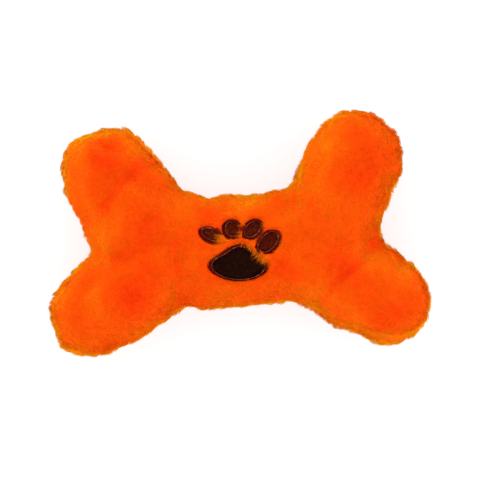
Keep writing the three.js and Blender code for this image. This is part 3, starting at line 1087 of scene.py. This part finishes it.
# Seam threads: the lock-stitched seam all round, and the ladder stitches that close the filling hole
SEAM_INSET = 2.4 * MM
SEAM_PITCH = 2.6 * MM
SEAM_THREAD_RADIUS = 0.16 * MM
SEAM_SEED = 70
SEAM_TONE_SCATTER = 0.1
SEAM_THREAD_HEIGHT = PANEL_GAP / 2 + ALLOWANCE_THICKNESS + SEAM_THREAD_RADIUS
LADDER_ENDS = ((196, 308), (270, 306))
LADDER_PITCH = 4 * MM
LADDER_INSET = 0.8 * MM
LADDER_HEIGHT = 0.7 * MM
LOCK_CORNER, LADDER_CORNER = 0.25, 0.1


def along_seam(seam, inset, pitch):
    """Places in X and Y on the seam, evenly spaced, at a distance inside its folded edge."""
    run = seam["places"] + inset * seam["inward"]
    for _ in range(RIM_SMOOTHING):
        run = (np.roll(run, 1, 0) + 2 * run + np.roll(run, -1, 0)) / 4
    steps = lengths(np.diff(run, axis=0))
    at = np.concatenate([[0], np.cumsum(steps)])
    want = np.arange(int(at[-1] / pitch)) * pitch
    return np.stack([np.interp(want, at, run[:, k]) for k in range(2)], 1)


def stitches(name, rungs, corner_share, rises):
    """A thread from each place to the next, which turns near both, at its rises over the seam."""
    paths = []
    for start, end, heights in zip(rungs, rungs[1:], rises):
        near, far = start + corner_share * (end - start), start + (1 - corner_share) * (end - start)
        flat = np.stack([start, near, far, end])
        paths += [np.column_stack([flat, seam_height(flat) + np.array(height)]) for height in heights]
    paths = np.stack(paths)
    count = len(paths)
    sideways = unit(np.cross(paths[:, -1] - paths[:, 0], [0.0, 0.0, 1.0]))
    radii = np.full((count, paths.shape[1] - 1), SEAM_THREAD_RADIUS)
    tones = MIDDLE_TONE + np.random.default_rng(SEAM_SEED).normal(0, SEAM_TONE_SCATTER, count)
    dress(strands(name, paths, sideways, radii, tones), seam_thread_material)


def perimeter_seam(seam):
    """Two threads, one on each allowance, that meet in the gap between them at each needle hole."""
    holes = along_seam(seam, SEAM_INSET, SEAM_PITCH)
    both = [(0, rise, rise, 0) for rise in (SEAM_THREAD_HEIGHT, -SEAM_THREAD_HEIGHT)]
    stitches("perimeter_lock_stitch", holes, LOCK_CORNER, [both] * len(holes))


def closing_stitches(seam):
    """A thread that runs inside one fold, crosses to the other and runs on there."""
    rungs = along_seam(seam, LADDER_INSET, LADDER_PITCH)
    low, high = (at_pixel(*pixel)[0] for pixel in LADDER_ENDS)
    below = rungs[:, 1] < at_pixel(*IMAGE_MIDDLE)[1]
    rungs = rungs[below & (rungs[:, 0] > low) & (rungs[:, 0] < high)]
    turns = [LADDER_HEIGHT if number % 2 else -LADDER_HEIGHT for number in range(len(rungs))]
    rises = [[(-rise, rise, rise, rise)] for rise in turns]
    stitches("closing_ladder_stitch", rungs, LADDER_CORNER, rises)


def dress_squeaker():
    """Gives the squeaker's CAD pieces, which stay as they are, their own materials."""
    milky = (srgb(226, 222, 210), srgb(242, 240, 232))
    white = (srgb(238, 238, 235), srgb(250, 250, 248))
    frosted = (srgb(196, 206, 212), srgb(222, 230, 234))
    bladder = moulded("bladder_plastic", 60, 5, 1200, (0.28, 0.45), 0.05 * MM, *milky)
    whistle = moulded("whistle_plastic", 150, 4, 2000, (0.25, 0.38), 0.03 * MM, *white)
    reed = grained("reed_film", 0.5, 0.4, 1600, 4, 0.02 * MM, *frosted)
    nodes = ("squeaker_bladder", "reed_holder", "reed_clamp", "squeaker_reed")
    for node, material in zip(nodes, (bladder, whistle, whistle, reed)):
        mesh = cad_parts[node].data
        mesh.materials.clear()
        mesh.materials.append(material)


# Filling: loose fibre, one wad in each knob and two round the squeaker
WADS = ("shaft_stuffing_front", "shaft_stuffing_back", *list(REGIONS.values())[1:])
WAD_VOXEL = 2.4 * MM
WAD_SMOOTHING = 3
WAD_INSET = 0.9 * MM
WAD_ROOM = 0.9 * MM
# Heights and spacings of its tufts, each with what is added to the wad's seed
WAD_TUFTS = ((0.45 * MM, 9 * MM, 0), (0.2 * MM, 4 * MM, 50))


def wad(node, seed):
    """A wad with a tufted surface, kept clear of the backing above and below it."""
    obj = new_piece(node + "_fibre", *collected([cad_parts[node]]))
    voxel_remesh(obj, WAD_VOXEL)
    mesh = obj.data
    points = smoothed(points_of(mesh), edges_of(mesh), WAD_SMOOTHING)
    set_points(mesh, points)
    tufts = sum(height * waves(points, spacing, seed + k) for height, spacing, k in WAD_TUFTS)
    points -= normals_of(mesh) * (WAD_INSET + tufts)[:, None]
    middle = seam_height(points)
    for i, (x, y, z) in enumerate(points):
        start = Vector((x, y, middle[i]))
        above = front_inner.ray_cast(start, Vector((0, 0, 1)))[0]
        below = back_inner.ray_cast(start, Vector((0, 0, -1)))[0]
        if above:
            points[i, 2] = min(points[i, 2], above.z - WAD_ROOM)
        if below:
            points[i, 2] = max(points[i, 2], below.z + WAD_ROOM)
    set_points(mesh, points)
    mesh.shade_smooth()
    dress(obj, fibre_material, node)


def heights_on(tree, flat, way, near, start=None):
    """The heights at which rays that fall (way -1) or rise (way 1) meet a form, or else its nearest height.

    The rays come from the height start, or from far off.
    """
    heights = []
    for x, y in flat:
        hit = tree.ray_cast(Vector((x, y, -way if start is None else start)), Vector((0, 0, way)))[0]
        if hit is None:
            hit = tree.find_nearest(Vector((x, y, near)))[0]
        heights.append(hit.z)
    return np.array(heights)


# Stabiliser: the nonwoven sheet behind the front panel that the paw print is sewn through
STABILISER_SPACING = 2 * MM
STABILISER_THICKNESS = 0.4 * MM
STABILISER_GAP = 0.35 * MM
STABILISER_TRIM = 2.5 * MM
STABILISER_CLEARANCE = 4 * MM
STABILISER_SMOOTHING = 4


def stabiliser():
    low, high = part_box("paw_stabiliser")
    trim = Vector((STABILISER_TRIM, STABILISER_TRIM, 0))
    low, high = low + trim, high - trim
    columns, rows = (int((high[k] - low[k]) / STABILISER_SPACING) + 1 for k in range(2))
    xs, ys = np.linspace(low.x, high.x, columns), np.linspace(low.y, high.y, rows)
    flat = np.array([(x, y) for y in ys for x in xs])
    top = heights_on(front_inner, flat, 1, high.z, SEAM_Z + STABILISER_CLEARANCE) - STABILISER_GAP
    points = np.column_stack([flat, top])
    starts = [r * columns + c for r in range(rows - 1) for c in range(columns - 1)]
    faces = [[v, v + 1, v + columns + 1, v + columns] for v in starts]
    obj = new_piece("stabiliser_sheet", points, faces)
    edges = edges_of(obj.data)
    for _ in range(STABILISER_SMOOTHING):
        points = points + 0.5 * (neighbour_mean(points, edges) - points) * [0, 0, 1]
    points[:, 2] = np.minimum(points[:, 2], top)
    set_points(obj.data, points)
    shell = obj.modifiers.new("shell", "SOLIDIFY")
    shell.thickness, shell.offset = STABILISER_THICKNESS, -1
    apply_modifiers(obj)
    obj.data.shade_smooth()
    obj.data.materials.append(stabiliser_material)
    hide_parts("paw_stabiliser")
    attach(obj, "toy")


# Paw print: velour patches
PATCH_EDGE_INSET = 0.7 * MM
PATCH_RINGS = (0.12, 0.26, 0.4, 0.54, 0.67, 0.79, 0.9, 1)
PATCH_WAVE = 0.12 * MM
PATCH_WAVE_SPACING = 7 * MM
VELOUR_PER_AREA = 9 / MM**2
VELOUR_LENGTH = 0.9 * MM
VELOUR_RADII = (0.1 * MM, 0.08 * MM)
VELOUR_EDGE = -1.8 * MM
VELOUR_ROOT_DEPTH = 0.1 * MM
VELOUR_LEANS = ((0.2, 0.7), (0.5, 1.2))
VELOUR_TONE, VELOUR_TONE_WAVE, VELOUR_TONE_SCATTER = 0.34, 0.12, 0.1
VELOUR_TONE_SPACING = 8 * MM
# Speckles of painted sheen on the nap: how many of the tips they are, how much thicker and how much lighter
SHEEN_SPECKLE_SHARE, SHEEN_SPECKLE_THICKER, SHEEN_SPECKLE_LIGHTER = 0.06, 0.7, 0.6


def outline_at(mark, share, inset=0):
    """Places at a share of a mark's reach in even directions, moved inwards by inset."""
    outline = outlines[mark]
    reach = (outline["reach"] - inset) * share
    return outline["middle"] + reach[:, None] * np.stack([np.cos(OUTLINE_TURNS), np.sin(OUTLINE_TURNS)], 1)


def band(near, far):
    """Faces between two outlines, given by their first vertices."""
    pairs = [(k, (k + 1) % OUTLINE_STEPS) for k in range(OUTLINE_STEPS)]
    return [[near + k, far + k, far + after, near + after] for k, after in pairs]


def patch(mark, slot, material, bed, seed):
    """A padded velour patch and its nap, whose tips are painted lighter as sheen in a few speckles."""
    node = mark + "_patch"
    tree = tree_of(node)
    top_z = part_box(node)[1].z
    rings = [outlines[mark]["middle"][None]] + [outline_at(mark, s, PATCH_EDGE_INSET) for s in PATCH_RINGS]
    flat = np.concatenate(rings)
    uneven = PATCH_WAVE * waves(np.column_stack([flat, flat[:, 0]]), PATCH_WAVE_SPACING, seed)
    top = heights_on(tree, flat, -1, top_z) + uneven
    bottom = heights_on(tree, flat, 1, top_z)
    faces = [[0, 1 + k, 1 + (k + 1) % OUTLINE_STEPS] for k in range(OUTLINE_STEPS)]
    firsts = [1 + ring * OUTLINE_STEPS for ring in range(len(PATCH_RINGS))]
    for near, far in zip(firsts, firsts[1:]):
        faces += band(near, far)
    count = len(flat)
    under = [[v + count for v in reversed(f)] for f in faces]
    points = np.concatenate([np.column_stack([flat, top]), np.column_stack([flat, bottom])])
    obj = new_piece(mark + "_velour", points, faces + under + band(firsts[-1], firsts[-1] + count))
    obj.data.shade_smooth()
    dress(obj, bed, node)
    rng = np.random.default_rng(seed)
    face = new_piece("face", points[:count], faces)
    roots, normals = sampled(face.data, VELOUR_PER_AREA, rng, lambda p: beyond(mark, p) < VELOUR_EDGE)
    bpy.data.objects.remove(face)
    count = len(roots)
    lay = turned_about(unit(np.cross(normals, [0.0, 1.0, 0.0])), normals, rng.uniform(0, 2 * np.pi, count))
    places = [roots - VELOUR_ROOT_DEPTH * normals]
    for lean in [rng.uniform(*leans, count) for leans in VELOUR_LEANS]:
        way = normals * np.cos(lean)[:, None] + lay * np.sin(lean)[:, None]
        places.append(places[-1] + way * VELOUR_LENGTH / 2)
    speckle = rng.random(count) < SHEEN_SPECKLE_SHARE
    thickness = rng.uniform(*RADIUS_SPREAD, count) + SHEEN_SPECKLE_THICKER * speckle
    radii = np.array(VELOUR_RADII)[None] * thickness[:, None]
    tones = VELOUR_TONE + VELOUR_TONE_WAVE * waves(roots, VELOUR_TONE_SPACING, seed + 1)
    # A few speckled tips painted lighter as sheen
    tones = tones + rng.normal(0, VELOUR_TONE_SCATTER, count) + SHEEN_SPECKLE_LIGHTER * speckle
    dress(strands(mark + "_nap", np.stack(places, 1), np.cross(normals, lay), radii, tones), material)


# Paw print: satin-stitched borders with an inner row of lighter thread, whose light colour is partly its
# own and partly a painted highlight and glints of its sheen
STITCH_OVERSHOOT = 0.28 * MM
TOOTH_SHARE = 0.4
STITCH_PITCH = 0.3 * MM
STITCH_RADIUS = 0.19 * MM
STITCH_INSETS = (-0.2 * MM, 0.15 * MM, 0.75 * MM, 1.1 * MM)
STITCH_DROPS = (0.55 * MM, 0.12 * MM, 0.05 * MM, 0.55 * MM)
STITCH_SKEWS = (-0.15, -0.05, 0.1, 0.2)
STITCH_SCATTER, STITCH_RISE_SCATTER = 0.09 * MM, 0.04 * MM
STITCH_TONE, STITCH_TONE_SCATTER = 0.3, 0.09
INNER_ROW_INSET = 1.4 * MM
INNER_ROW_PITCH = 1.5 * MM
INNER_ROW_RISE = 0.12 * MM
INNER_ROW_PATH = ((-0.62, -0.12), (-0.3, 0.05), (0.3, 0.05), (0.62, -0.12))
INNER_ROW_RADIUS = 0.16 * MM
INNER_ROW_SCATTER = 0.07 * MM
# The inner row's tone: a lighter thread with a painted highlight of its sheen, which reaches painted glints
# where its scatter meets the top of the ramp
INNER_ROW_THREAD_AND_HIGHLIGHT_TONE, INNER_ROW_TONE_SCATTER = 0.82, 0.07
BAND_PROBES = (0.4 * MM, 1.5 * MM)


def even_outline(mark, pitch, inset):
    """Places along a mark's outline, evenly spaced, with the directions along it and inwards."""
    loop = outline_at(mark, 1, inset)
    steps = lengths(np.roll(loop, -1, 0) - loop)
    total = steps.sum()
    count = int(total / pitch)
    want = np.arange(count) * total / count
    at = np.concatenate([[0], np.cumsum(steps)])
    closed = np.concatenate([loop, loop[:1]])
    places = np.stack([np.interp(want, at, closed[:, k]) for k in range(2)], 1)
    along = unit(np.roll(places, -1, 0) - np.roll(places, 1, 0))
    return places, along, np.stack([-along[:, 1], along[:, 0]], 1)


def border(mark, seed):
    node = mark + "_border"
    tree = tree_of(node)
    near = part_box(node)[1].z
    rng = np.random.default_rng(seed)
    places, along, inward = even_outline(mark, STITCH_PITCH, 0)
    count = len(places)
    low, high = (heights_on(tree, places + inward * inset, -1, near) for inset in BAND_PROBES)
    slope = (high - low) / (BAND_PROBES[1] - BAND_PROBES[0])
    rows = []
    teeth = STITCH_OVERSHOOT * (rng.random(count) < TOOTH_SHARE)
    for inset, drop, skew in zip(STITCH_INSETS, STITCH_DROPS, STITCH_SKEWS):
        out = rng.normal(0, STITCH_SCATTER, count) - teeth * (inset < 0)
        flat = places + inward * (inset + out)[:, None] + along * skew * MM
        crown = low + slope * (inset - BAND_PROBES[0])
        rows.append(np.column_stack([flat, crown - drop + rng.normal(0, STITCH_RISE_SCATTER, count)]))
    satin = np.stack(rows, 1)
    satin_radii = np.tile([STITCH_RADIUS, STITCH_RADIUS, 0.9 * STITCH_RADIUS], (count, 1))
    satin_tones = STITCH_TONE + rng.normal(0, STITCH_TONE_SCATTER, count)
    places, along, inward = even_outline(mark, INNER_ROW_PITCH, INNER_ROW_INSET)
    few = len(places)
    height = heights_on(tree, places, -1, near) + INNER_ROW_RISE
    rows = []
    for step, rise in INNER_ROW_PATH:
        out = rng.normal(0, INNER_ROW_SCATTER, few)
        flat = places + along * step * INNER_ROW_PITCH + inward * out[:, None]
        rows.append(np.column_stack([flat, height + rise * MM]))
    paths = np.concatenate([satin, np.stack(rows, 1)])
    radii = np.concatenate([satin_radii, np.tile([INNER_ROW_RADIUS] * 3, (few, 1))])
    inner_thread_and_highlight_tones = INNER_ROW_THREAD_AND_HIGHLIGHT_TONE + rng.normal(0, INNER_ROW_TONE_SCATTER, few)
    tones = np.concatenate([satin_tones, inner_thread_and_highlight_tones])
    sideways = unit(np.cross(paths[:, 2] - paths[:, 1], [0.0, 0.0, 1.0]))
    obj = strands(mark + "_satin", paths, sideways, radii, tones)
    dress(obj, thread_material, node)


PATCH_SEED, BORDER_SEED, WAD_SEED = 20, 30, 40
for number, mark in enumerate(MARKS):
    slot = "pad_velour" if mark == "main_pad" else "toe_velour"
    patch(mark, slot, *velours[slot], PATCH_SEED + number)
    border(mark, BORDER_SEED + number)

front_tips, front_inner, seam = panel("front_panel_cloth", "front_panel", 1)
back_tips, back_inner, _ = panel("back_panel_cloth", "back_panel", -1)
for number, node in enumerate(WADS):
    wad(node, WAD_SEED + number)
stabiliser()
perimeter_seam(seam)
closing_stitches(seam)
dress_squeaker()
pile("front", front_tips, 1)
pile("back", back_tips, -1)
bpy.data.objects.remove(cover)


# Stage, light and camera
FLOOR_SIZE = 8
FLOOR_LEVEL = 0.95
SEEN_FLOOR_LEVEL = 0.35
SEEN_FLOOR_GLOW = 0.72
WORLD_STRENGTH = 0.96
# Each lamp's place and its power in watts: two above, and four that stand low and light the sides
LAMPS = {
    "key": ((-0.7, 0.8, 1.3), 1.5),
    "fill": ((0.9, -0.5, 1.1), 0.8),
    "right": ((1.5, 0, 0.35), 5.5),
    "far": ((0, 1.5, 0.35), 5.5),
    "left": ((-1.5, 0, 0.35), 5.5),
    "near": ((0, -1.5, 0.35), 5.5),
}
LAMP_SIZE = 1.0
LENS, SENSOR = 135, 36


def seen_rays(tree):
    """1 for the rays that show a surface to the camera: its own, and those off or through shiny pieces."""
    ray = tree.nodes.new("ShaderNodeLightPath")
    share = ray.outputs["Is Camera Ray"]
    for kind in ("Is Glossy Ray", "Is Transmission Ray"):
        larger = tree.nodes.new("ShaderNodeMath")
        larger.operation = "MAXIMUM"
        tree.links.new(share, larger.inputs[0])
        tree.links.new(ray.outputs[kind], larger.inputs[1])
        share = larger.outputs[0]
    return share


def make_stage():
    bpy.ops.mesh.primitive_plane_add(size=FLOOR_SIZE, location=(0, 0, 0))
    floor = bpy.context.object
    floor.name = "floor"
    n = Nodes("floor", roughness=1, specular=0)
    n.colour(grey(FLOOR_LEVEL))
    both = n.add("ShaderNodeAddShader")
    n.put(both.inputs[0], n.add("ShaderNodeBsdfDiffuse", Color=grey(SEEN_FLOOR_LEVEL)).outputs[0])
    n.put(both.inputs[1], n.add("ShaderNodeEmission", Color=WHITE, Strength=SEEN_FLOOR_GLOW).outputs[0])
    mixed = n.add("ShaderNodeMixShader")
    for number, value in enumerate((seen_rays(n.tree), n.shader.outputs[0], both.outputs[0])):
        n.put(mixed.inputs[number], value)
    n.put(n.tree.nodes["Material Output"].inputs["Surface"], mixed.outputs[0])
    floor.data.materials.append(n.material)


def make_light(name, place, power):
    data = bpy.data.lights.new(name, "AREA")
    data.shape, data.size, data.energy = "SQUARE", LAMP_SIZE, power
    lamp = bpy.data.objects.new(name, data)
    lamp.location = place
    lamp.rotation_euler = (-Vector(place)).to_track_quat("-Z", "Y").to_euler()
    bpy.context.scene.collection.objects.link(lamp)


def make_world():
    world = bpy.data.worlds.new("studio")
    bpy.context.scene.world = world
    world.use_nodes = True
    tree = world.node_tree
    back = tree.nodes["Background"]
    back.inputs["Color"].default_value = WHITE
    strength = tree.nodes.new("ShaderNodeMix")
    strength.inputs[2].default_value, strength.inputs[3].default_value = WORLD_STRENGTH, 1
    tree.links.new(seen_rays(tree), strength.inputs[0])
    tree.links.new(strength.outputs[0], back.inputs["Strength"])


def make_camera():
    data = bpy.data.cameras.new("camera")
    data.lens, data.sensor_width = LENS, SENSOR
    camera = bpy.data.objects.new("camera", data)
    far = IMAGE_WIDTH * PIXEL * LENS / SENSOR
    camera.location = (*LOOKS_AT, SEAM_Z + far)
    camera.rotation_euler = (0, 0, -TILT)
    bpy.context.scene.collection.objects.link(camera)
    bpy.context.scene.camera = camera


make_stage()
for name, (place, power) in LAMPS.items():
    make_light(name, place, power)
make_world()
make_camera()
bpy.context.scene.view_settings.view_transform = "Standard"
